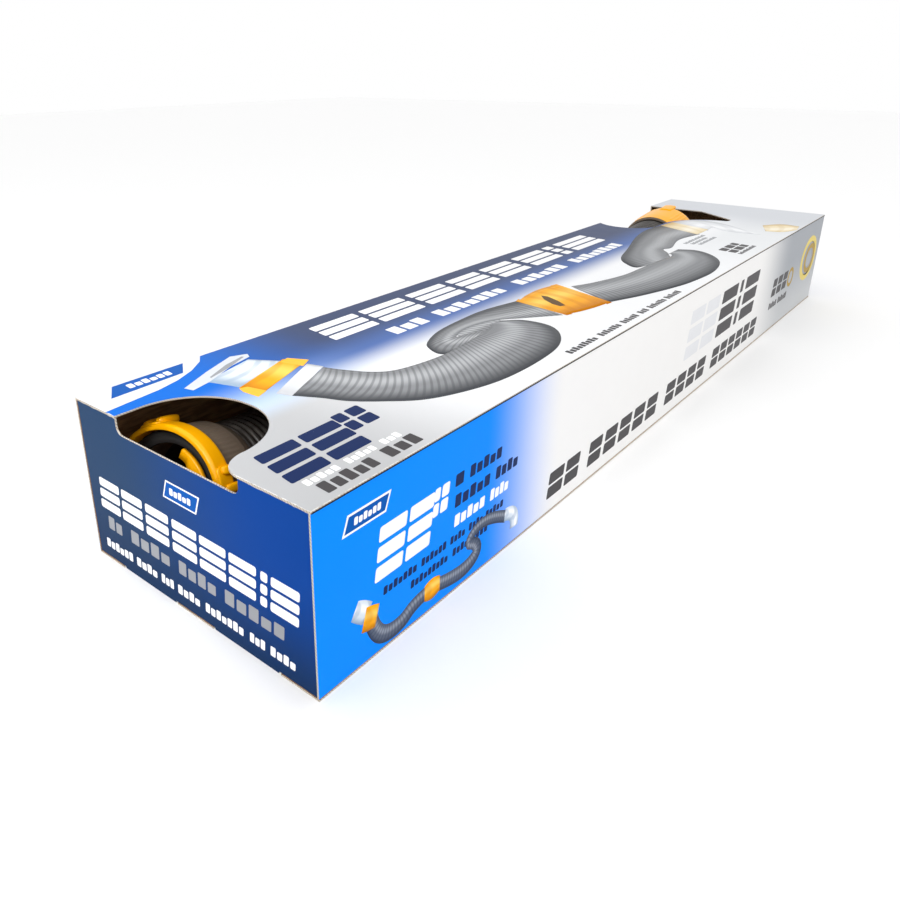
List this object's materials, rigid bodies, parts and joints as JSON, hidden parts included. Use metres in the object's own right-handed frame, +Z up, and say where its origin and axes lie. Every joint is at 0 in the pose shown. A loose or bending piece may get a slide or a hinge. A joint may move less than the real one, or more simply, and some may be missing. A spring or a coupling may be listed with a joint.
{
  "type": "sewer hose kit",
  "caption": "Boxed sewer hose kit: folded board carton with two windows, hoses with swivel fittings, clear adapters and a stepped adapter.",
  "frame": {"origin": "middle of the carton's underside", "axes": "+Y along the carton towards its far end, +X across it, +Z up"},
  "size_m": [0.235, 1.088, 0.1419],
  "materials": {
    "printed_board": "printed, semi-gloss varnish",
    "raw_board": "uncoated kraft",
    "hose_vinyl": "ribbed vinyl",
    "orange_plastic": "moulded, fine texture",
    "cuff_plastic": "moulded, satin",
    "gasket_rubber": "matt",
    "clear_plastic": "clear moulded",
    "grey_plastic": "moulded"
  },
  "bodies": {
    "carton": {"carton_bottom_panel": "printed_board", "carton_left_panel": "printed_board", "carton_right_panel": "printed_board", "carton_top_panel": "printed_board", "carton_glue_flap": "raw_board", "near_left_dust_flap": "raw_board", "near_right_dust_flap": "raw_board", "far_left_dust_flap": "raw_board", "far_right_dust_flap": "raw_board", "left_hose": "hose_vinyl", "right_hose": "hose_vinyl", "left_lug_cuff": "cuff_plastic", "left_bayonet_cuff": "cuff_plastic", "right_lug_cuff": "cuff_plastic", "right_bayonet_cuff": "cuff_plastic", "left_lug_gasket": "gasket_rubber", "left_bayonet_gasket": "gasket_rubber", "right_lug_gasket": "gasket_rubber", "right_bayonet_gasket": "gasket_rubber", "clear_adapter_gasket": "gasket_rubber", "elbow_gasket": "gasket_rubber", "clear_adapter": "clear_plastic", "elbow_body": "clear_plastic", "threaded_adapter": "grey_plastic"},
    "near_flap": {"near_end_flap": "printed_board"},
    "far_flap": {"far_end_flap": "printed_board"},
    "left_lug_swivel_ring": {"left_lug_ring": "orange_plastic"},
    "left_bayonet_swivel_ring": {"left_bayonet_ring": "orange_plastic"},
    "right_lug_swivel_ring": {"right_lug_ring": "orange_plastic"},
    "right_bayonet_swivel_ring": {"right_bayonet_ring": "orange_plastic"},
    "elbow_swivel_ring": {"elbow_lug_ring": "orange_plastic"}
  },
  "joints": [
    {"name": "near_flap_fold", "type": "hinge", "parent": "carton", "child": "near_flap", "pos_m": [0, -0.544, 0.127], "axis": [-1, 0, 0], "range_deg": [0, 115]},
    {"name": "far_flap_fold", "type": "hinge", "parent": "carton", "child": "far_flap", "pos_m": [0, 0.544, 0.127], "axis": [1, 0, 0], "range_deg": [0, 115]},
    {"name": "left_lug_swivel", "type": "hinge", "parent": "carton", "child": "left_lug_swivel_ring", "pos_m": [-0.05579, -0.522, 0.06254], "axis": [0.2008, -0.9448, 0.2588], "continuous": true},
    {"name": "left_bayonet_swivel", "type": "hinge", "parent": "carton", "child": "left_bayonet_swivel_ring", "pos_m": [-0.0664, 0.408, 0.094], "axis": [0, 0.9945, 0.1045], "continuous": true},
    {"name": "right_lug_swivel", "type": "hinge", "parent": "carton", "child": "right_lug_swivel_ring", "pos_m": [0.0598, 0.396, 0.0577], "axis": [0, 1, 0], "continuous": true},
    {"name": "right_bayonet_swivel", "type": "hinge", "parent": "carton", "child": "right_bayonet_swivel_ring", "pos_m": [0.0598, -0.447, 0.0577], "axis": [0, -1, 0], "continuous": true},
    {"name": "elbow_swivel", "type": "hinge", "parent": "carton", "child": "elbow_swivel_ring", "pos_m": [0.0659, 0.426, 0.0496], "axis": [0, -1, 0], "continuous": true}
  ]
}
